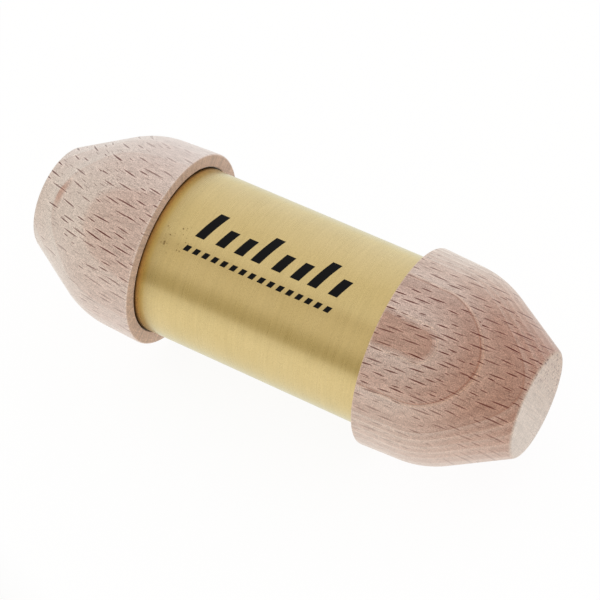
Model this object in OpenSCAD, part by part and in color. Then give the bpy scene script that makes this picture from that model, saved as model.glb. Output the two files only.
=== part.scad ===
// Percussion shaker: a short brass tube closed by two turned beech end caps, with loose steel shot
// inside. It lies on its side, with the tube along X and +Z up, and the origin is the middle of the tube.
// Each cap has a blind socket that the tube is pushed into until it stands on the socket's floor,
// and a ring of glue fills the clearance round it.

/* [Tube] */

// Outside diameter of the brass tube
tube_od = 40; // [34:0.5:50]
// Wall of the brass tube
tube_wall = 1; // [0.6:0.1:2]
// Length of brass that shows between the two rims
tube_shown = 57.6; // [48:0.2:90]
// Chamfer that deburring leaves on the cut ends of the tube
tube_deburr = 0.2; // [0.1:0.05:0.25]

/* [Socket] */

// Depth of the socket in each cap, from the rim to the floor that the tube stands on
socket_depth = 14; // [9:0.5:20]
// Clearance all round the tube in its socket
socket_clearance = 0.25; // [0.15:0.05:0.5]
// Chamfer round the mouth of the socket
mouth_chamfer = 0.25; // [0.1:0.05:0.6]
// How far the glue stays back from the mouth
glue_setback = 3; // [1:0.5:6]

/* [End caps] */

// Wood between the socket and the outside, at the rim
rim_wall = 3.25; // [2.5:0.05:6]
// How far the barrel runs on past the floor of the socket before it turns into the cone
barrel_past_socket = 1; // [0.5:0.1:4]
// Draft of the barrel, in degrees
barrel_taper = 2.5; // [0:0.1:4]
// Length of the cone, from the end of the barrel to the end face
cone_length = 18.1; // [14:0.1:26]
// Diameter of the flat end face
end_face_d = 25.1; // [18:0.1:30]
// Radius of the swept shoulder between barrel and cone
shoulder_radius = 22; // [4:0.5:28]
// Radius on the outer edge of the rim
rim_edge = 0.5; // [0.1:0.05:1]
// Radius on the edge of the end face
end_edge = 1.2; // [0.2:0.05:2]

/* [Shot] */

// Diameter of one steel pellet
pellet_d = 3; // [2:0.1:3.4]
// Room kept between neighbouring pellets, and between the shot and the chamber
pellet_gap = 0.3; // [0.2:0.05:0.5]
// Pellets in one of the longer sliding rows, which leaves the rest of the chamber to slide in
row_pellets = 13; // [8:1:15]

/* [Hidden] */

brass = [0.80, 0.70, 0.45];
beech = [0.83, 0.71, 0.65];
dried_glue = [0.86, 0.80, 0.62];
steel = [0.62, 0.63, 0.65];

$fn = 96;
// Points along the long shoulder arc and along a small eased edge
shoulder_steps = 16;
edge_steps = 6;

// The tube reaches the floor of both sockets, and its bore is the chamber that the shot runs in
tube_length = tube_shown + 2 * socket_depth;
bore_r = tube_od / 2 - tube_wall;

// A cap is turned to fit round the tube
socket_r = tube_od / 2 + socket_clearance;
rim_r = socket_r + rim_wall;
barrel_length = socket_depth + barrel_past_socket;
shoulder_r = rim_r - barrel_length * tan(barrel_taper);
cap_length = barrel_length + cone_length;

// The glue is a hair thinner than the clearance on each side, so that it cuts into neither wood nor brass
glue_hair = 0.02;

// One layer of pellets lies on the bore, in rows either side of the keel row at the very bottom, and a
// second layer lies on that. Rows are a pitch apart in every direction, so each can slide past the next.
pellet_pitch = pellet_d + pellet_gap;
wall_layer_r = bore_r - pellet_gap - pellet_d / 2;
top_layer_r = wall_layer_r - pellet_pitch;
// The keel row fills the chamber from end to end
keel_pellets = floor((tube_length - pellet_gap) / pellet_pitch);

// Angle between rows a pitch apart, in a layer of that radius
function row_angle(layer_r) = 2 * asin(pellet_pitch / (2 * layer_r));

// Every second row is a pellet shorter, so that its pellets lie in the hollows of the rows beside it
function pellets_in_row(place) = row_pellets - place % 2;

function unit(v) = v / norm(v);
function heading(v) = atan2(v.y, v.x);
function turn_between(from, to) = (to - from + 540) % 360 - 180;

// Points of the arc that rounds an outline's corner, between the corners before and after it
function eased(before, corner, after, radius, steps) =
    let (
        back = unit(before - corner),
        on = unit(after - corner),
        half_angle = acos(back * on) / 2,
        centre = corner + unit(back + on) * radius / sin(half_angle),
        reach = radius / tan(half_angle),
        start = heading(corner + back * reach - centre),
        turn = turn_between(start, heading(corner + on * reach - centre))
    )
    [
        for (i = [0:steps])
            let (angle = start + turn * i / steps)
            centre + radius * [cos(angle), sin(angle)]
    ];

// Outline of a cap as distance from the axis and distance from the rim: outside first, then the socket
module cap_outline() {
    mouth = [socket_r + mouth_chamfer, 0];
    rim = [rim_r, 0];
    shoulder = [shoulder_r, barrel_length];
    end = [end_face_d / 2, cap_length];
    end_centre = [0, cap_length];
    polygon(concat(
        [mouth],
        eased(mouth, rim, shoulder, rim_edge, edge_steps),
        eased(rim, shoulder, end, shoulder_radius, shoulder_steps),
        eased(shoulder, end, end_centre, end_edge, edge_steps),
        [end_centre, [0, socket_depth], [socket_r, socket_depth], [socket_r, mouth_chamfer]]
    ));
}

// Turns an outline round the X axis, with its length running towards +X
module turned() {
    rotate([0, 90, 0])
        rotate_extrude()
            children();
}

// Places what belongs to a cap at the right rim, or at the left one facing the other way
module at_right_rim() {
    translate([tube_shown / 2, 0, 0])
        children();
}

module at_left_rim() {
    mirror([1, 0, 0])
        at_right_rim()
            children();
}

module tube() {
    outer_r = tube_od / 2;
    end = tube_length / 2;
    color(brass)
        turned()
            polygon([
                [bore_r, tube_deburr - end],
                [bore_r + tube_deburr, -end],
                [outer_r - tube_deburr, -end],
                [outer_r, tube_deburr - end],
                [outer_r, end - tube_deburr],
                [outer_r - tube_deburr, end],
                [bore_r + tube_deburr, end],
                [bore_r, end - tube_deburr],
            ]);
}

module end_cap() {
    color(beech)
        turned()
            cap_outline();
}

module glue_ring() {
    color(dried_glue)
        turned()
            translate([tube_od / 2 + glue_hair, glue_setback])
                square([socket_clearance - 2 * glue_hair, socket_depth - glue_setback]);
}

// A row of pellets along X, at an angle round from the bottom of the bore, towards the back if positive
module pellet_row(layer_r, angle, pellets) {
    color(steel)
        rotate([angle, 0, 0])
            for (i = [0:pellets - 1])
                translate([(i - (pellets - 1) / 2) * pellet_pitch, 0, -layer_r])
                    sphere(d = pellet_d);
}

// Rows are counted outwards from the bottom: side is -1 at the front and 1 at the back
module wall_row(side, place) {
    pellet_row(wall_layer_r, side * place * row_angle(wall_layer_r), pellets_in_row(place));
}

module top_row(side, place) {
    pellet_row(top_layer_r, side * (place - 1 / 2) * row_angle(top_layer_r), pellets_in_row(place));
}

tube();
at_left_rim() end_cap();  // end_cap_left
at_right_rim() end_cap();  // end_cap_right
at_left_rim() glue_ring();  // glue_ring_left
at_right_rim() glue_ring();  // glue_ring_right
pellet_row(wall_layer_r, 0, keel_pellets);  // shot_keel
wall_row(-1, 1);  // shot_front_1
wall_row(-1, 2);  // shot_front_2
wall_row(-1, 3);  // shot_front_3
wall_row(-1, 4);  // shot_front_4
wall_row(1, 1);  // shot_back_1
wall_row(1, 2);  // shot_back_2
wall_row(1, 3);  // shot_back_3
wall_row(1, 4);  // shot_back_4
top_row(-1, 1);  // shot_top_front_1
top_row(-1, 2);  // shot_top_front_2
top_row(1, 1);  // shot_top_back_1
top_row(1, 2);  // shot_top_back_2
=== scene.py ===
# %% [markdown]
# # A hand shaker in brass and beech
# The object is a short brass tube with a turned beech cap on each end and loose steel shot inside. The
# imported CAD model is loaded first, as a frame that nothing here moves. Its turned shapes are already right,
# so this lesson is mostly about finishes: what makes wood look like wood, and brass like brushed brass.

# %% The frame
import math
from types import SimpleNamespace

import bmesh
import bpy
from mathutils import Matrix, Vector


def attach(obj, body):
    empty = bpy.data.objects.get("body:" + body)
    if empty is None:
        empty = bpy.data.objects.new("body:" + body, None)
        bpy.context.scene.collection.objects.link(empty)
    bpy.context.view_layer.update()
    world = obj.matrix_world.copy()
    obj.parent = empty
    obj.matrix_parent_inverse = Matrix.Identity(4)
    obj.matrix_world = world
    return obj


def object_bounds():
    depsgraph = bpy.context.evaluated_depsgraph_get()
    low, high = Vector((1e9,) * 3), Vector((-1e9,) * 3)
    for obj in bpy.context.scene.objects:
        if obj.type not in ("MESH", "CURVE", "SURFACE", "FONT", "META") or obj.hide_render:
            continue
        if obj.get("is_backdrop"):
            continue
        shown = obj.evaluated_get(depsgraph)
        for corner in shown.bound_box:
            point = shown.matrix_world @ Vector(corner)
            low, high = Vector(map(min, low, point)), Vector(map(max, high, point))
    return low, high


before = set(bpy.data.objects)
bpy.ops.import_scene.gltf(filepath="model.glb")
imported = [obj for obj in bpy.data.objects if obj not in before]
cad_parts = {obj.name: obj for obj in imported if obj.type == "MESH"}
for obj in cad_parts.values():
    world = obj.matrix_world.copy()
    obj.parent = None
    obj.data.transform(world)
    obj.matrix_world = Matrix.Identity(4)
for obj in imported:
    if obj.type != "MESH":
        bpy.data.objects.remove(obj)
scene = bpy.context.scene
MM = 0.001
cad_low, cad_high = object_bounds()
print("CAD nodes:", len(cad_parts), "box in mm:", [round(size / MM, 2) for size in cad_high - cad_low])

# %% [markdown]
# ## The camera
# The picture is taken from above and from the right, with a long lens from about half a metre away. A
# camera could be aimed by eye with a Track To constraint. Here its three axes are written down instead:
# "back" points from the shaker to the lens, and "right" and "up" follow from it, so the same view comes
# back on every run.

# %% Camera
view_turn = math.radians(30.68)
view_height = math.radians(47.66)
view_distance = 519.5 * MM
aim_right, aim_up = 2.05 * MM, -0.65 * MM
lens_length, sensor_width = 138.54, 36
nearest_seen = 10 * MM

back = Vector((
    math.sin(view_turn) * math.cos(view_height),
    -math.cos(view_turn) * math.cos(view_height),
    math.sin(view_height),
))
right = back.cross(Vector((0, 0, -1))).normalized()
up = back.cross(right)
eye = right * aim_right + up * aim_up + back * view_distance

camera = bpy.data.objects.new("studio_camera", bpy.data.cameras.new("studio_camera"))
camera.data.sensor_width = sensor_width
camera.data.lens = lens_length
camera.data.clip_start = nearest_seen
camera.matrix_world = Matrix.Translation(eye) @ Matrix((right, up, back)).transposed().to_4x4()
scene.collection.objects.link(camera)
scene.camera = camera
print("camera at", [round(value, 3) for value in eye], "lens", camera.data.lens, "mm")

# %% [markdown]
# ## A bench for finishes
# Every finish below is a tree of nodes that feeds one Principled shader. Nodes could be added one by one,
# but that takes many lines, so a small class keeps the tree and offers one short call for each kind of
# node. A call returns the node's output, which can go straight into the next call. The class grows in three
# steps: nodes, then sums, then patterns and colours.

# %% Nodes
class Nodes:
    """The node tree of a material or of the world."""

    def __init__(self, owner):
        owner.use_nodes = True
        self.owner = owner
        self.tree = owner.node_tree

    def find(self, name):
        return self.tree.nodes[name]

    def fill(self, socket, value):
        """Links a socket to another node's output, or sets it to a number or a colour."""
        if isinstance(value, bpy.types.NodeSocket):
            self.tree.links.new(value, socket)
        else:
            socket.default_value = value

    def add(self, kind, inputs, output=0, **settings):
        """Adds a node, fills its inputs and returns one of its outputs."""
        node = self.tree.nodes.new(kind)
        for setting, value in settings.items():
            setattr(node, setting, value)
        for key, value in inputs.items():
            self.fill(node.inputs[key], value)
        return node.outputs[output]

    def shade(self, **sockets):
        """Fills sockets of the material's shader, whose names are written with _ for a space."""
        for name, value in sockets.items():
            self.fill(self.find("Principled BSDF").inputs[name.replace("_", " ")], value)


print("nodes ready")

# %% Sums
class Sums(Nodes):
    """Sums with numbers and with points."""

    def calc(self, operation, *values):
        return self.add("ShaderNodeMath", dict(enumerate(values)), operation=operation)

    def times(self, first, *others):
        product = first
        for factor in others:
            product = self.calc("MULTIPLY", product, factor)
        return product

    def between(self, value, low, high, to_low=0, to_high=1):
        """Stretches the span from low to high over to_low to to_high, and holds it there."""
        span = {"Value": value, "From Min": low, "From Max": high, "To Min": to_low, "To Max": to_high}
        return self.add("ShaderNodeMapRange", span)

    def blend(self, share, first, last):
        """Goes from first to last as the share goes from 0 to 1."""
        return self.between(share, 0, 1, first, last)

    def vector_calc(self, operation, *values, output="Vector"):
        return self.add("ShaderNodeVectorMath", dict(enumerate(values)), output, operation=operation)

    def along(self, point, direction):
        """How far a point lies along a direction."""
        return self.vector_calc("DOT_PRODUCT", point, direction, output="Value")

    def length(self, arrow):
        return self.vector_calc("LENGTH", arrow, output="Value")

    def distance(self, point, spot):
        return self.vector_calc("DISTANCE", point, spot, output="Value")

    def stretch(self, point, factors):
        return self.vector_calc("MULTIPLY", point, factors)

    def combine(self, x, y, z):
        return self.add("ShaderNodeCombineXYZ", {0: x, 1: y, 2: z})


print("sums ready")

# %% Patterns and colours
class Bench(Sums):
    """Points, patterns and colours for a finish."""

    def place(self):
        """The point on the piece, in millimetres."""
        point = self.add("ShaderNodeTexCoord", {}, "Object")
        return self.add("ShaderNodeVectorMath", {0: point, "Scale": 1 / MM}, operation="SCALE")

    def noise(self, point, scale, detail=2, roughness=0.5):
        look = {"Vector": point, "Scale": scale, "Detail": detail, "Roughness": roughness}
        return self.add("ShaderNodeTexNoise", look)

    def chance(self, point):
        """Three random numbers from 0 to 1, as one colour, for each whole-numbered point."""
        return self.add("ShaderNodeTexWhiteNoise", {"Vector": point}, "Color", noise_dimensions="3D")

    def redraw(self, luck, factor):
        """A new random number, made from the far digits of another one."""
        return self.calc("FRACT", self.times(luck, factor))

    def specks(self, point, scale, smallest, largest):
        """Round specks of all sizes, one to a cell of a scattered pattern, with soft edges."""
        soft_edge = 0.1
        cell = self.add("ShaderNodeTexVoronoi", {"Vector": point, "Scale": scale}).node.outputs
        luck = self.add("ShaderNodeSeparateColor", {0: cell["Color"]})
        size = self.blend(luck, smallest, largest)
        return self.between(self.calc("SUBTRACT", cell["Distance"], size), 0, -soft_edge)

    def ramp(self, value, stops):
        """Colours at places from 0 to 1, with straight slopes between them."""
        shade = self.add("ShaderNodeValToRGB", {0: value})
        elements = shade.node.color_ramp.elements
        while len(elements) < len(stops):
            elements.new(0.5)
        for element, (spot, colour) in zip(elements, stops):
            element.position = spot
            element.color = colour
        return shade

    def mix(self, share, first, second, blend_type="MIX"):
        parts = {0: share, 6: first, 7: second}
        return self.add("ShaderNodeMix", parts, 2, data_type="RGBA", blend_type=blend_type)

    def mottle(self, colour, pattern, first, last, span=(0.3, 0.7), share=1):
        """Multiplies a colour by a grey that goes from first to last over a span of the pattern."""
        return self.mix(share, colour, self.between(pattern, *span, first, last), "MULTIPLY")

    def bump(self, height, depth, strength):
        return self.add("ShaderNodeBump", {"Height": height, "Distance": depth, "Strength": strength})


def new_finish(name):
    return Bench(bpy.data.materials.new(name))


def grey(level):
    return (level, level, level, 1)


def paint(red, green, blue):
    """A colour for a socket, from the 0 to 255 numbers that a colour picker shows on a picture."""
    shades = [value / 255 for value in (red, green, blue)]
    linear = [s / 12.92 if s < 0.04045 else ((s + 0.055) / 1.055) ** 2.4 for s in shades]
    return (*linear, 1)


print("finish bench ready")

# %% [markdown]
# ## The studio
# The shaker lies on a white sheet in soft light from all round. Lamps could do that, but a plain world
# colour is softer and has no noise. The brass mirrors the studio and so tells what it looked like: the back
# wall is bright and a little cool, the ceiling is warmer, and towards the front it gets dimmer and warmer
# still. So the world is a ramp of colours from back to front. The Standard view shows each colour as it is
# written.

# %% World light
front = Vector((-0.34, -0.94, 0)).normalized()
back_wall, ceiling = (0.96, 0.985, 1.09, 1), (0.86, 0.84, 0.79, 1)
camera_side, front_wall = (0.66, 0.61, 0.52, 1), (0.78, 0.74, 0.66, 1)
far_end = (0.47, 0.42, 0.28, 1)

scene.view_settings.view_transform = "Standard"
scene.world = bpy.data.worlds.new("soft_studio")
sky = Bench(scene.world)
toward_front = sky.along(sky.add("ShaderNodeTexCoord", {}, "Generated"), front)
walls = sky.ramp(
    sky.between(toward_front, -1, 1),
    [
        (0.10, back_wall),
        (0.42, ceiling),
        (0.73, ceiling),
        (0.82, camera_side),
        (0.87, front_wall),
        (0.96, front_wall),
        (1.0, far_end),
    ],
)
sky.fill(sky.find("Background").inputs["Color"], walls)
print("world light runs from", far_end[:3], "in front to", back_wall[:3], "behind")

# %% [markdown]
# ## The white sheet
# The sheet is one large square at the height of the shaker's lowest point. It has to look white and still
# take the shaker's shadow. White paper under lamps could do that, but its white would shift with every
# lamp. Here the sheet glows at a little less than white, and a small share of matt white on top, which the
# sky lights, makes up the rest: that share is all that a shadow can take away. Light Path shows this
# mixture to the camera and to mirrored rays, and a plain glow to the rays that only carry light.

# %% Floor
floor_half = 4
floor_shape = bmesh.new()
bmesh.ops.create_grid(floor_shape, x_segments=1, y_segments=1, size=floor_half)
bmesh.ops.translate(floor_shape, verts=floor_shape.verts, vec=(0, 0, cad_low.z))
floor_mesh = bpy.data.meshes.new("floor")
floor_shape.to_mesh(floor_mesh)
floor_shape.free()
floor = bpy.data.objects.new("floor", floor_mesh)
scene.collection.objects.link(floor)
floor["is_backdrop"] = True
print("floor at", round(cad_low.z / MM, 2), "mm")

# %% [markdown]
# In front of the shaker and outside the picture, the sheet goes over into a dim, khaki-coloured room, which
# gives the brass its warm tone low down. An object could stand there, but a ramp on the sheet does the
# same: its colour changes with how far a point lies in front of the shaker. That ramp is painted shade on
# the sheet's glow.

# %% White sheet
shadow_share = 0.1
open_sky = 0.85
table_light = 1.1
sheet_span = 400
sheet_colours = [
    (80, grey(1)),
    (108, (0.92, 0.92, 0.91, 1)),
    (168, (0.88, 0.87, 0.84, 1)),
    (300, far_end),
]

sheet = new_finish("white_sheet")
# Painted shade: the sheet turns darker and khaki further in front.
in_front = sheet.between(sheet.along(sheet.place(), front), 0, sheet_span)
tone = sheet.ramp(in_front, [(spot / sheet_span, colour) for spot, colour in sheet_colours])
path = sheet.add("ShaderNodeLightPath", {}).node.outputs
seen = sheet.calc("MAXIMUM", path["Is Camera Ray"], path["Is Glossy Ray"])
seen = sheet.calc("MAXIMUM", seen, path["Is Transmission Ray"])
glow = sheet.add("ShaderNodeEmission", {"Color": tone, "Strength": 1 - shadow_share * open_sky})
shaded = sheet.add("ShaderNodeBsdfDiffuse", {"Color": grey(shadow_share)})
white = sheet.add("ShaderNodeAddShader", {0: glow, 1: shaded})
lit_from_below = sheet.add("ShaderNodeEmission", {"Color": tone, "Strength": table_light})
surface = sheet.add("ShaderNodeMixShader", {0: seen, 1: lit_from_below, 2: white})
sheet.fill(sheet.find("Material Output").inputs["Surface"], surface)
floor.data.materials.append(sheet.owner)
print("sheet is white up to", sheet_colours[0][0], "mm in front of the shaker's middle")

# %% [markdown]
# ## Beech
# Each cap is turned from a square of beech, so its surface cuts through the same solid wood at every angle.
# A picture wrapped round the cap could never show that. A solid pattern can: it gives every point in space
# a colour, and the turned shape then draws the arcs of the growth rings by itself.
#
# ### Growth rings
# The rings are almost flat sheets here, because the wood came from far out in a big trunk. "Depth" runs
# through the sheets. A noise could space them, but the arcs on a cap tell where each year ended, so those
# depths are written down, and a ramp runs from one to the next.

# %% Growth rings
def growth_rings(wood, depth, ring_edges, blur):
    """0 in the pale wood that starts a year's growth, rising to 1 in the dark wood that ends it. The lathe
    only skims the ring above the last edge, so that one shows a single tone."""
    skimmed_tone = 0.96
    deepest = ring_edges[0]
    height = ring_edges[-1] + blur - deepest
    stops = []
    for edge, next_edge in zip(ring_edges, ring_edges[1:]):
        stops.append(((edge + blur - deepest) / height, grey(1)))
        stops.append(((next_edge - blur - deepest) / height, grey(0)))
    stops.append((1, grey(skimmed_tone)))
    return wood.ramp(wood.between(depth, deepest, deepest + height), stops)


print("growth rings ready")

# %% [markdown]
# ### Lay of the wood
# Each cap was cut from its board at its own angle. So a point is first measured in the board's own
# directions: "along" the axis, "across" the grain and along the sheets, and "depth" through them. The
# sheets are dished and slope a little along the cap, and a slow noise lets them waver, or the arcs would
# look drawn with a compass.

# %% Lay of the wood
rim_at = 28.8
ring_waver = 0.07


def lay_of_wood(wood, board):
    """Where a point lies in the board, in its rings and on the cap, and which way the surface faces."""
    lean = math.radians(board.face_lean)
    lay = SimpleNamespace(point=wood.place())
    lay.facing = wood.add("ShaderNodeTexCoord", {}, "Normal")
    lay.along = wood.along(lay.point, (1, 0, 0))
    lay.from_middle = wood.calc("ABSOLUTE", lay.along)
    lay.spoke = wood.stretch(lay.point, (0, 1, 1))
    lay.from_axis = wood.length(lay.spoke)
    lay.across_way = (-board.grain_drift, -math.cos(lean), -math.sin(lean))
    lay.across = wood.along(lay.point, lay.across_way)

    flat_depth = wood.along(lay.point, (0, -math.sin(lean), math.cos(lean)))
    aside = wood.times(lay.across, lay.across)
    dished = wood.calc("MULTIPLY_ADD", aside, -board.ring_dish, flat_depth)
    waver = wood.between(wood.noise(lay.point, 0.12), 0.3, 0.7, -ring_waver, ring_waver)
    from_rim = wood.calc("SUBTRACT", lay.from_middle, rim_at)
    lay.depth = wood.calc("ADD", dished, wood.calc("MULTIPLY_ADD", from_rim, board.ring_slope, waver))
    lay.year = growth_rings(wood, lay.depth, board.ring_edges, board.ring_blur)
    return lay


print("lay of the wood ready, rims at", rim_at, "mm from the middle")

# %% [markdown]
# ### Sides of the board
# On top a cap cuts the sheets flat and shows wide arcs. Towards its back and its front it cuts them on
# edge, and there the figure closes up and the flecks fade. The colour there is painted paler: partly the
# paler wood that is cut on edge, partly painted sheen on the sides. The way that the surface faces could
# decide this, but "across" alone changes more gently. At the front the cap's width counts too, so that the
# change follows the cone inwards.

# %% Sides of the board
back_from, back_to = -8, -21
front_from, front_to = 3.5, 13.5
width_share = 0.35


def sides_of_board(wood, board, lay):
    """Adds the share of the back side, of the front side and of the flat face between them."""
    lay.back_side = wood.between(lay.across, back_from, back_to)
    past_width = wood.calc("MULTIPLY_ADD", lay.from_axis, -width_share, lay.across)
    lay.front_side = wood.between(past_width, front_from, front_to)
    kept_at_back = wood.blend(lay.back_side, 1, 1 - board.back_fade)
    lost_in_front = wood.blend(lay.front_side, 0, 0.1 + 0.7 * board.lower_side)
    lay.flat_face = wood.calc("SUBTRACT", kept_at_back, lost_in_front)


print("back side from", back_from, "to", back_to, "mm across, front side from", front_from, "to", front_to)

# %% [markdown]
# ### Ray flecks
# Flecks are the short dark dashes that tell beech from any other pale wood. Each is the edge of a thin
# sheet of cells that stands square to the rings, so it is a pointed dash on the side of a cap, and shrinks
# to a short line on its end. Stretched noise could make dashes, but not pointed ones of a chosen length. So
# the wood is cut into loose bricks, and random numbers for each brick say whether a dash stands in it, and
# how.

# %% Bricks for flecks
def fleck_bricks(wood, lay, first_row, brick_length, row_width):
    """The place in the rows and along the bricks of a row, and three random numbers for each brick. Rows
    are staggered, and a brick is somewhat deeper than it is long."""
    brick_depth = 1.3 * brick_length
    rows = wood.calc("MULTIPLY_ADD", lay.across, 1 / row_width, first_row)
    row = wood.calc("FLOOR", rows)
    row_luck = wood.chance(wood.combine(row, 7, 3))
    layers = wood.calc("ADD", wood.calc("DIVIDE", lay.depth, brick_depth), row_luck)
    stagger = wood.calc("MULTIPLY_ADD", row, 0.382, wood.times(row_luck, 0.2))
    bricks = wood.calc("ADD", wood.calc("DIVIDE", lay.along, brick_length), stagger)
    number = wood.combine(row, wood.calc("FLOOR", bricks), wood.calc("FLOOR", layers))
    luck = wood.add("ShaderNodeSeparateColor", {0: wood.chance(number)}).node.outputs
    return rows, bricks, luck


print("bricks for flecks ready")

# %% Ray flecks
def ray_flecks(wood, lay, first_row, spacing, length, width, share):
    """Pointed dashes along the grain, and the pale hem where the grain bends round each of them. A dash
    stands somewhere in its brick, which is longer than any dash, and leans a little its own way."""
    brick_length, row_width = spacing
    shortest, longest = length
    rows, bricks, luck = fleck_bricks(wood, lay, first_row, brick_length, row_width)
    stands = wood.calc("LESS_THAN", luck[0], share)
    half_length = wood.blend(luck[1], shortest / 2, longest / 2)
    spare = wood.calc("SUBTRACT", 0.5, wood.calc("DIVIDE", half_length, brick_length))
    middle = wood.calc("MULTIPLY_ADD", wood.calc("MULTIPLY_ADD", luck[2], 2, -1), spare, 0.5)
    onward = wood.times(wood.calc("SUBTRACT", wood.calc("FRACT", bricks), middle), brick_length)
    reach = wood.calc("DIVIDE", onward, half_length)
    swell = wood.calc("SUBTRACT", 1, wood.times(reach, reach))

    row_middle = wood.blend(wood.redraw(luck[0], 91), 0.25, 0.75)
    sideways = wood.times(wood.calc("SUBTRACT", wood.calc("FRACT", rows), row_middle), row_width)
    tilt = wood.blend(wood.redraw(luck[1], 57), -0.06, 0.06)
    aside = wood.calc("ABSOLUTE", wood.calc("MULTIPLY_ADD", onward, tilt, sideways))
    half_width = wood.blend(luck[1], 0.42 * width, 0.58 * width)
    inside = wood.calc("SUBTRACT", swell, wood.calc("DIVIDE", aside, half_width))

    strength = wood.times(stands, wood.blend(luck[2], 0.7, 1))
    dash = wood.times(wood.between(inside, 0, 0.2), strength)
    hem = wood.times(wood.between(inside, -3.5, -0.7), strength)
    return dash, hem


print("ray flecks ready")

# %% [markdown]
# A cap shows two sizes of fleck: long dark ones, and small faint ones between them. Both get fewer towards
# the tip of a board that asks for it. They fade where the surface runs along the rays, and on the end
# grain.

# %% Flecks on a cap
usual_share, usual_small_share = 0.9, 0.5
thin_from, thin_to = rim_at + 11, rim_at + 19
room = 0.8
small_spacing, small_length = (3.7, 0.7), (0.8, 3.0)
small_width, small_strength = 0.2, 0.5


def cap_flecks(wood, board, lay, end_share):
    """The dashes and the hems that show on a cap."""
    share = wood.between(lay.from_middle, thin_from, thin_to, usual_share, usual_share * board.tip_flecks)
    small_share = wood.between(
        lay.from_middle, thin_from, thin_to, usual_small_share, usual_small_share * board.tip_flecks
    )
    spacing = (board.fleck_length[1] + room, board.fleck_rows)
    large, hems = ray_flecks(
        wood, lay, board.first_row, spacing, board.fleck_length, board.fleck_width, share
    )
    small, _ = ray_flecks(
        wood, lay, board.first_row, small_spacing, small_length, small_width, small_share
    )
    dashes = wood.calc("MAXIMUM", large, wood.times(small, small_strength))

    on_edge = wood.calc("ABSOLUTE", wood.along(lay.facing, lay.across_way))
    fleck_face = wood.times(
        lay.flat_face, wood.between(on_edge, 0.88, 1.0, 1, 0.2), wood.blend(lay.front_side, 1, 0.5)
    )
    dashes = wood.times(dashes, wood.blend(end_share, 0.97, 0.22), fleck_face)
    return dashes, wood.times(hems, fleck_face)


print("small flecks are", small_length[0], "to", small_length[1], "mm long")

# %% [markdown]
# ### End grain
# The flat end of a cap and the rim round its socket are cut straight across the grain. The end is yellower
# than the sides and browner towards the back, with thin ray lines, and with the dark dots of open vessels.
# The rim is redder, with fine lines that point away from the axis. A second material could carry all this,
# but a cap is one piece of wood, so the share of end grain comes from how squarely the surface faces along
# the axis.

# %% End grain
end_colour, rim_colour = paint(212, 192, 173), paint(216, 180, 156)
end_tints = [(0, (1.02, 1.05, 1.10, 1)), (1, (0.84, 0.75, 0.69, 1))]


def end_grain(wood, lay):
    """The share of end grain, its colour, and the dots of its vessels."""
    square_on = wood.calc("ABSOLUTE", wood.along(lay.facing, (1, 0, 0)))
    share = wood.between(square_on, 0.62, 0.97)
    near_rim = wood.between(lay.from_axis, 18, 19)
    rim_face = wood.times(share, near_rim)

    vessels = wood.specks(wood.combine(lay.across, lay.depth, 0), 1.2, 0.12, 0.48)
    more_at_back = wood.between(lay.across, 3, -3, 0.1, 0.9)
    early_wood = wood.between(lay.year, 0.85, 0.6)
    dots = wood.times(vessels, more_at_back, early_wood, wood.calc("SUBTRACT", share, rim_face))

    tint = wood.ramp(wood.between(lay.across, 7, -9), end_tints)
    ray_lines = wood.noise(wood.combine(0, lay.across, wood.times(lay.depth, 0.06)), 1.5)
    rim_lines = wood.noise(wood.vector_calc("NORMALIZE", lay.spoke), 30)
    colour = wood.mix(near_rim, wood.mix(1, end_colour, tint, "MULTIPLY"), rim_colour)
    colour = wood.mottle(colour, ray_lines, 0.88, 1.0, span=(0.35, 0.6))
    colour = wood.mottle(colour, lay.year, 1.0, 0.92, span=(0.5, 1.0))
    colour = wood.mottle(colour, rim_lines, 0.72, 1.1, share=rim_face)
    return SimpleNamespace(share=share, colour=colour, dots=dots)


print("end grain ready")

# %% [markdown]
# ### Colour of the long grain
# Long grain is all of a cap that isn't end grain. One ramp over the rings could colour it, but then every
# part would look alike. So its colour goes on in layers. Pale wood comes first, paler still on the sides of
# the board, partly as painted sheen. Over it lies the tone of the rings: it rises to a plateau, ends in a
# dark edge line, and a pale line starts the next year. Then a tint changes the wood from rim to tip, the
# edge of the rim gets a painted highlight, and one board has a darker blush along a ring.

# %% Colour of the long grain
late_wood_tones = [(0, grey(0)), (0.64, grey(0.44)), (0.93, grey(0.4)), (1, grey(1))]
tint_from, tint_to = 37, 51
highlight_from, highlight_to = rim_at + 0.55, rim_at + 0.15
blush_from, blush_to = 4.2, 1.5


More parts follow.
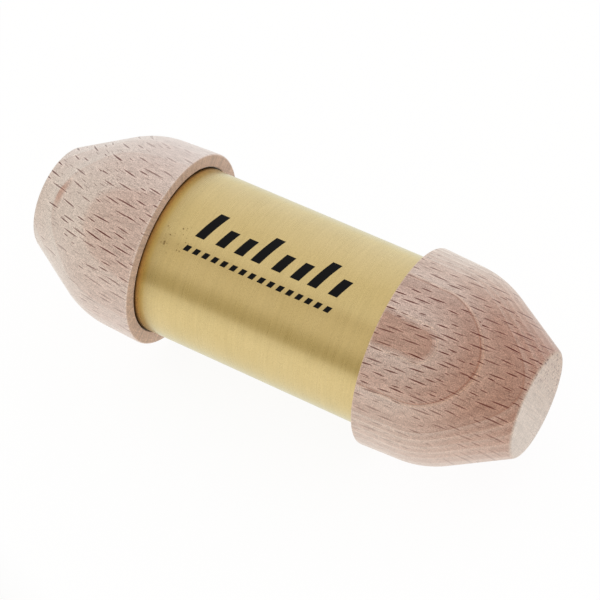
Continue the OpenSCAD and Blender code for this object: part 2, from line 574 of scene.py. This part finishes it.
def long_grain_colour(wood, board, lay):
    front_share = wood.times(lay.front_side, board.lower_side)
    # Share of the paler sides: partly paler wood cut on edge, partly painted sheen.
    side_and_sheen_share = wood.calc("MULTIPLY_ADD", lay.back_side, 0.95, front_share)
    figure = wood.times(lay.flat_face, board.ring_strength)
    ring_tone = wood.times(wood.ramp(lay.year, late_wood_tones), figure)
    pale_line = wood.times(wood.between(lay.year, 0.07, 0.01, 0, 0.85 * board.ring_strength), figure)
    colour = wood.mix(side_and_sheen_share, board.pale, board.side_colour)
    colour = wood.mix(ring_tone, colour, board.dark)
    colour = wood.mix(pale_line, colour, board.line_colour)

    onward = wood.between(lay.from_middle, tint_from, tint_to)
    tint = wood.ramp(onward, [(0, board.rim_tint), (1, board.tip_tint)])
    front_tint = wood.blend(lay.front_side, 1, 1 - 1.5 * board.lower_side)
    tint_share = wood.times(front_tint, wood.blend(lay.back_side, 1, 0.88))
    colour = wood.mix(tint_share, colour, tint, "MULTIPLY")
    # Painted highlight: the rounded edge of the rim is made pale in the line colour.
    rim_edge_highlight = wood.between(lay.from_middle, highlight_from, highlight_to, 0, 0.55)
    colour = wood.mix(rim_edge_highlight, colour, board.line_colour)
    if board.blush_at:
        from_blush = wood.distance(lay.point, board.blush_at)
        near_blush = wood.between(from_blush, blush_from, blush_to, 0, 0.85)
        blush = wood.times(near_blush, wood.between(lay.year, 0.78, 0.9))
        colour = wood.mix(blush, colour, board.dark)
    return colour


print("the tint changes from", tint_from, "to", tint_to, "mm from the middle")

# %% [markdown]
# ### The finish
# Four patterns finer than a ring make the wood look close at hand: streaks and fibres that are drawn out
# along the grain, thin lines between the rings, and pores. They could all go into the bump, but bare sanded
# wood shows them mostly as tone, so each darkens and lightens the colour a little, and only pores, fibres
# and flecks are pressed into the surface. Sheen stands for the loose fibre ends, which catch light at a
# glance.

# %% Fine grain
def fine_grain(wood, lay):
    def drawn_out(ratio):
        return wood.combine(lay.along, wood.times(lay.across, ratio), wood.times(lay.depth, ratio))

    return SimpleNamespace(
        streaks=wood.noise(drawn_out(16), 0.07, detail=3),
        fibres=wood.noise(drawn_out(6), 0.55),
        thin_rings=wood.noise(wood.combine(wood.times(lay.across, 0.04), 0, lay.depth), 1.0),
        pores=wood.noise(lay.point, 4.5, roughness=0.6),
    )


print("fine grain ready")

# %% The beech finish
socket_shade_colour = paint(74, 42, 20)
socket_radius, socket_end = 20.3, 44


def beech(board):
    """Bare sanded beech, with painted shade on the inside wall of the socket."""
    wood = new_finish(board.name)
    lay = lay_of_wood(wood, board)
    sides_of_board(wood, board, lay)
    end = end_grain(wood, lay)
    grain = fine_grain(wood, lay)
    dashes, hems = cap_flecks(wood, board, lay, end.share)

    colour = long_grain_colour(wood, board, lay)
    colour = wood.mix(wood.times(end.share, 0.9), colour, end.colour)
    colour = wood.mottle(colour, grain.streaks, 0.93, 1.04, span=(0.25, 0.75))
    colour = wood.mottle(colour, grain.fibres, 0.86, 1.09)
    colour = wood.mottle(colour, grain.thin_rings, 0.92, 1.05, share=board.ring_strength)
    colour = wood.mottle(colour, grain.pores, 0.62, 1.30, share=lay.flat_face)
    colour = wood.mix(hems, colour, grey(1.13), "MULTIPLY")
    colour = wood.mix(wood.calc("MAXIMUM", dashes, end.dots), colour, board.fleck_colour)
    # Painted shade: the inside wall of the socket is coloured dark brown, so the gap at the rim reads dark.
    inside_wall = wood.between(lay.from_axis, socket_radius + 0.2, socket_radius)
    socket_shade_share = wood.times(inside_wall, wood.between(lay.from_middle, socket_end + 1, socket_end))
    colour = wood.mix(socket_shade_share, colour, socket_shade_colour)
    raised = wood.times(wood.calc("ADD", grain.pores, grain.fibres), 0.4)
    wood.shade(
        Base_Color=colour,
        Roughness=wood.between(wood.calc("ADD", grain.streaks, grain.pores), 0.7, 1.3, 0.62, 0.5),
        Normal=wood.bump(wood.calc("SUBTRACT", raised, dashes), 0.04 * MM, 0.6),
        Specular_IOR_Level=0.15,
        Sheen_Weight=0.65,
        Sheen_Roughness=0.4,
        Sheen_Tint=(1, 0.985, 0.94, 1),
    )
    print(board.name, "has", len(board.ring_edges), "ring edges and", len(wood.tree.nodes), "nodes")
    return wood.owner


print("beech finish ready")

# %% [markdown]
# ### Two boards
# The two caps come from different boards. The right one is redder and shows strong arcs, and the left one
# is paler, with a fainter figure, grain that drifts off the axis and fewer flecks near its tip. So the
# finish is called twice, with these values for each board:
# - "first_row" is where the board starts in the rows of flecks, so that the boards differ.
# - "lower_side" is how much the front side pales, partly as painted sheen, and "back_fade" how much
#   figure the back side loses.
# - "face_lean" is how far the flat face of the rings leans towards the viewer, in degrees.
# - "grain_drift" is how far the grain wanders off the axis for each millimetre along it.
# - "ring_dish" bends the rings, "ring_slope" tilts them along the cap, and "ring_blur" softens their edges.
# - "ring_edges" are the depths where the years end, and "ring_strength" is how much of the figure shows.
# - "fleck_length" is from the shortest to the longest, and "fleck_rows" is the width of a row of flecks.
# - "tip_flecks" is the share of the flecks that is left near the tip.

# %% Right board
right_board = SimpleNamespace(
    name="beech_right",
    first_row=400,
    pale=paint(219, 196, 187),
    dark=paint(183, 136, 116),
    line_colour=paint(238, 206, 183),
    side_colour=paint(241, 226, 211),
    lower_side=0.38,
    back_fade=0.45,
    fleck_colour=paint(88, 18, 2),
    rim_tint=(1, 1, 1, 1),
    tip_tint=(0.775, 0.635, 0.558, 1),
    face_lean=33.4,
    grain_drift=-0.05,
    ring_dish=0.0015,
    ring_slope=0.039,
    ring_edges=(-26, -22, -17.6, -13.2, -9, -5, -1.2, 2.4, 5.6, 8.3, 10.4, 12.5, 14.19, 19.31, 23.2),
    ring_blur=0.015,
    ring_strength=1,
    fleck_length=(1.4, 5.2),
    fleck_rows=1.3,
    fleck_width=0.31,
    tip_flecks=1,
    blush_at=None,
)
right_beech = beech(right_board)

# %% Left board
left_board = SimpleNamespace(
    name="beech_left",
    first_row=1400,
    pale=paint(234, 220, 212),
    dark=paint(206, 164, 147),
    line_colour=paint(240, 224, 212),
    side_colour=paint(247, 240, 233),
    lower_side=0.1,
    back_fade=0.85,
    fleck_colour=paint(90, 12, 0),
    rim_tint=(0.924, 0.863, 0.85, 1),
    tip_tint=(1, 1, 1, 1),
    face_lean=43,
    grain_drift=0.12,
    ring_dish=0.0039,
    ring_slope=-0.1,
    ring_edges=(-30, -25, -19.5, -14.6, -9.4, -4.2, 1.1, 6.8, 12.95, 20.2),
    ring_blur=0.25,
    ring_strength=0.42,
    fleck_length=(1.5, 7.0),
    fleck_rows=1.4,
    fleck_width=0.33,
    tip_flecks=0.65,
    blush_at=(-54.5, -9.8, 13.9),
)
left_beech = beech(left_board)

# %% [markdown]
# ## Brushed brass
# The tube was spun against a fine abrasive, so hair-thin lines run round it. Metal only tints what it
# reflects, so most of its look comes from the studio. The lines could be drawn as colour, but on real metal
# they are roughness. Here they are both, and faintly: noise that is drawn out round the tube, in the
# colour, the roughness and the bump. The shader's anisotropy then stretches the gloss along the tube, as
# such lines do.
#
# Two marks go on first. A patch near the left rim has pin-sized pits of many sizes, which is wear. The
# brass right beside that rim is tinted brown at the wood and then grey: a painted reflection of the wood,
# and painted shade from the rim.

# %% Pits, and painted reflection and shade at the rim
tube_radius = 20
patch_at, patch_lean = -23, math.radians(33)
reflection_and_shade_width = 6
reflection_and_shade_tints = [
    (0, (0.84, 0.64, 0.50, 1)),
    (0.17, (0.94, 0.85, 0.57, 1)),
    (0.3, (0.90, 0.86, 0.66, 1)),
    (0.42, (0.88, 0.87, 0.84, 1)),
    (0.6, (0.90, 0.90, 0.90, 1)),
    (1, (1, 1, 1, 1)),
]


def tube_pits(metal, point):
    """Specks in one patch of the tube."""
    patch = (patch_at, -tube_radius * math.sin(patch_lean), tube_radius * math.cos(patch_lean))
    near_patch = metal.between(metal.distance(point, patch), 4.5, 2.5)
    return metal.times(metal.specks(point, 1.4, 0.08, 0.42), near_patch)


def rim_reflection_and_shade(metal, point):
    """Painted reflection of the wood and painted shade, by the distance from the left rim."""
    from_rim = metal.calc("ADD", metal.along(point, (1, 0, 0)), rim_at)
    return metal.ramp(metal.between(from_rim, 0, reflection_and_shade_width), reflection_and_shade_tints)


# The tarnish in this print is the painted reflection of the wood and painted shade beside the rim.
print("pits at", patch_at, "mm, tarnish up to", reflection_and_shade_width, "mm from the rim")

# %% Brass
pit_brown = paint(112, 82, 38)


def brushed_brass(name):
    metal = new_finish(name)
    point = metal.place()
    drawn_out = metal.stretch(point, (1, 0.03, 0.03))
    lines = metal.noise(drawn_out, 4.5, 3, 0.7)
    ridges = metal.noise(drawn_out, 1.6)
    bands = metal.noise(drawn_out, 0.5, detail=1)
    patina = metal.noise(point, 0.12, detail=3)
    speckle = metal.noise(point, 3.6)
    pits = tube_pits(metal, point)

    colour = metal.mix(metal.between(patina, 0.3, 0.7), paint(224, 200, 141), paint(228, 204, 146))
    colour = metal.mottle(colour, lines, 0.92, 1.0)
    colour = metal.mottle(colour, ridges, 0.95, 1.0)
    colour = metal.mottle(colour, speckle, 0.89, 1.01, span=(0.3, 0.6))
    # Painted reflection of the wood and painted shade beside the left rim.
    colour = metal.mix(1, colour, rim_reflection_and_shade(metal, point), "MULTIPLY")
    colour = metal.mix(metal.times(pits, 0.7), colour, pit_brown)
    line_rough = metal.between(lines, 0.3, 0.7, 0.25, 0.30)
    rough = metal.calc("ADD", line_rough, metal.between(bands, 0.3, 0.7, 0, 0.03))
    metal.shade(
        Base_Color=colour,
        Metallic=1.0,
        Roughness=metal.calc("MULTIPLY_ADD", pits, 0.3, rough),
        Normal=metal.bump(metal.calc("SUBTRACT", lines, pits), 0.02 * MM, 0.3),
        Specular_Tint=(0.93, 1.0, 1.0, 1),
        Anisotropic=0.65,
        Anisotropic_Rotation=0.25,
        Tangent=metal.add("ShaderNodeTangent", {}, direction_type="RADIAL", axis="X"),
    )
    print(name, "has", len(metal.tree.nodes), "nodes")
    return metal.owner


brass = brushed_brass("brushed_brass")

# %% [markdown]
# ## Glue and steel shot
# Both are hidden inside, but they show when the model is taken apart. Dried wood glue is a cloudy cream
# film with small bubbles. Steel shot is bright, with a tumbled skin of tiny dents and darker, oily places.
# One flat colour for each would do for a closed shaker, but a few nodes make them hold up on a bench as
# well.

# %% Glue and steel
def dried_glue(name):
    film = new_finish(name)
    point = film.place()
    clouds = film.noise(point, 0.5, detail=3)
    bubbles = film.add("ShaderNodeTexVoronoi", {"Vector": point, "Scale": 1.4}, "Distance")
    film.shade(
        Base_Color=film.mix(film.between(clouds, 0.3, 0.7), paint(226, 210, 164), paint(240, 229, 196)),
        Roughness=film.between(clouds, 0.3, 0.7, 0.3, 0.5),
        Normal=film.bump(film.between(bubbles, 0.1, 0.35), 0.05 * MM, 0.5),
    )
    return film.owner


def tumbled_steel(name):
    metal = new_finish(name)
    point = metal.place()
    dents = metal.noise(point, 3.5, detail=3)
    oil = metal.noise(point, 0.25, detail=1)
    metal.shade(
        Base_Color=metal.mix(metal.between(oil, 0.4, 0.65), paint(205, 206, 208), paint(168, 167, 166)),
        Metallic=1.0,
        Roughness=metal.between(dents, 0.3, 0.7, 0.16, 0.34),
        Normal=metal.bump(dents, 0.02 * MM, 0.4),
    )
    return metal.owner


glue = dried_glue("dried_glue")
steel = tumbled_steel("tumbled_steel")
print("finishes made:", [finish.name for finish in (right_beech, left_beech, brass, glue, steel)])

# %% [markdown]
# ## Dressing the CAD nodes
# The tube, the caps, the glue and the shot have the right shapes already. New meshes could replace them,
# but then two shapes would have to agree. So each node stays as it is, and only the finish in its slot
# changes.

# %% Finishes on the CAD nodes
casing_finishes = {"tube": brass, "end_cap_left": left_beech, "end_cap_right": right_beech}
for name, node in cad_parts.items():
    if name.startswith("shot"):
        finish = steel
    elif name.startswith("glue"):
        finish = glue
    else:
        finish = casing_finishes[name]
    if not node.material_slots:
        node.data.materials.append(finish)
    for material_slot in node.material_slots:
        material_slot.material = finish
print("dressed", len(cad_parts), "nodes")

# %% [markdown]
# ## The beat print
# The tube carries a print in thick black ink. This one is a plain beat pattern: a row of slanted bars, tall
# on the beats that are played hard, over a row of small dashes that count time. Ink could be painted into
# the brass finish, but edges drawn by a material are never quite sharp. So each bar is a thin film: one
# short edge on top of the tube is spun round the axis, and moved along it a little at each step so that the
# bar slants. The film is thicker than it stands proud, so its foot is in the brass and no gap shows.

# %% Print bar
ink_height = 0.02 * MM
ink_thickness = 0.03 * MM
degrees_per_step = 2


def print_bar(ink, middle, width, top_lean, bottom_lean, slant):
    """A bar of ink round the tube between two leans, in degrees towards the viewer from straight up."""
    steps = max(1, round((bottom_lean - top_lean) / degrees_per_step))
    height = tube_radius * MM + ink_height
    ends = [ink.verts.new((middle + slant / 2 + side * width / 2, 0, height)) for side in (-1, 1)]
    edge = ink.edges.new(ends)
    to_top = Matrix.Rotation(math.radians(top_lean), 3, "X")
    bmesh.ops.rotate(ink, verts=ends, cent=(0, 0, 0), matrix=to_top)
    bmesh.ops.spin(
        ink,
        geom=[*ends, edge],
        cent=(0, 0, 0),
        axis=(1, 0, 0),
        dvec=(-slant / steps, 0, 0),
        angle=math.radians(bottom_lean - top_lean),
        steps=steps,
        use_merge=False,
    )


print("ink stands", round(ink_height / MM, 3), "mm above the brass")

# %% Beat pattern
beats = 8
beat_pitch = 4.75 * MM
bar_width, bar_foot = 2.3 * MM, 27
hard_top, hard_slant = 6, 2.6 * MM
soft_top, soft_slant = 14, 1.7 * MM
dash_width, dash_slant, dash_shift = 1.3 * MM, 0.6 * MM, 1.6 * MM
dash_top, dash_foot = 34, 38

ink_shape = bmesh.new()
for beat in range(beats):
    middle = (beat - (beats - 1) / 2) * beat_pitch
    played_hard = beat % 3 == 0
    bar_top = hard_top if played_hard else soft_top
    bar_slant = hard_slant if played_hard else soft_slant
    print_bar(ink_shape, middle, bar_width, bar_top, bar_foot, bar_slant)
    for half in (-0.25, 0.25):
        dash_middle = middle + half * beat_pitch - dash_shift
        print_bar(ink_shape, dash_middle, dash_width, dash_top, dash_foot, dash_slant)
bmesh.ops.recalc_face_normals(ink_shape, faces=ink_shape.faces)
bmesh.ops.solidify(ink_shape, geom=ink_shape.faces[:], thickness=ink_thickness)
bmesh.ops.recalc_face_normals(ink_shape, faces=ink_shape.faces)
ink_mesh = bpy.data.meshes.new("beat_print")
ink_shape.to_mesh(ink_mesh)
ink_shape.free()
beat_print = bpy.data.objects.new("beat_print", ink_mesh)
scene.collection.objects.link(beat_print)
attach(beat_print, "casing")
print("print:", len(ink_mesh.polygons), "faces")

# %% [markdown]
# ### Ink
# The ink is a dull black with a faint grain from the screen that it was pressed through. A plain black
# would look like a hole in the brass. So a fine noise lifts the black here and there, and changes its
# gloss.

# %% Ink
def printed_ink(name):
    ink = new_finish(name)
    grain = ink.noise(ink.place(), 6)
    ink.shade(
        Base_Color=ink.mix(ink.between(grain, 0.35, 0.7), paint(6, 6, 8), paint(15, 15, 17)),
        Specular_IOR_Level=0.12,
        Roughness=ink.between(grain, 0.3, 0.7, 0.38, 0.52),
        Normal=ink.bump(grain, 0.01 * MM, 0.3),
    )
    return ink.owner


ink_mesh.materials.append(printed_ink("black_ink"))
print("ink on", beat_print.name)

# %% [markdown]
# ## Sizes
# The box of all that is shown is measured again, and how far it reaches past the CAD's box is printed.

# %% Sizes
seen_low, seen_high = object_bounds()
grown = max(*(cad_low - seen_low), *(seen_high - cad_high))
print("the box grew by", round(grown / MM, 4), "mm")
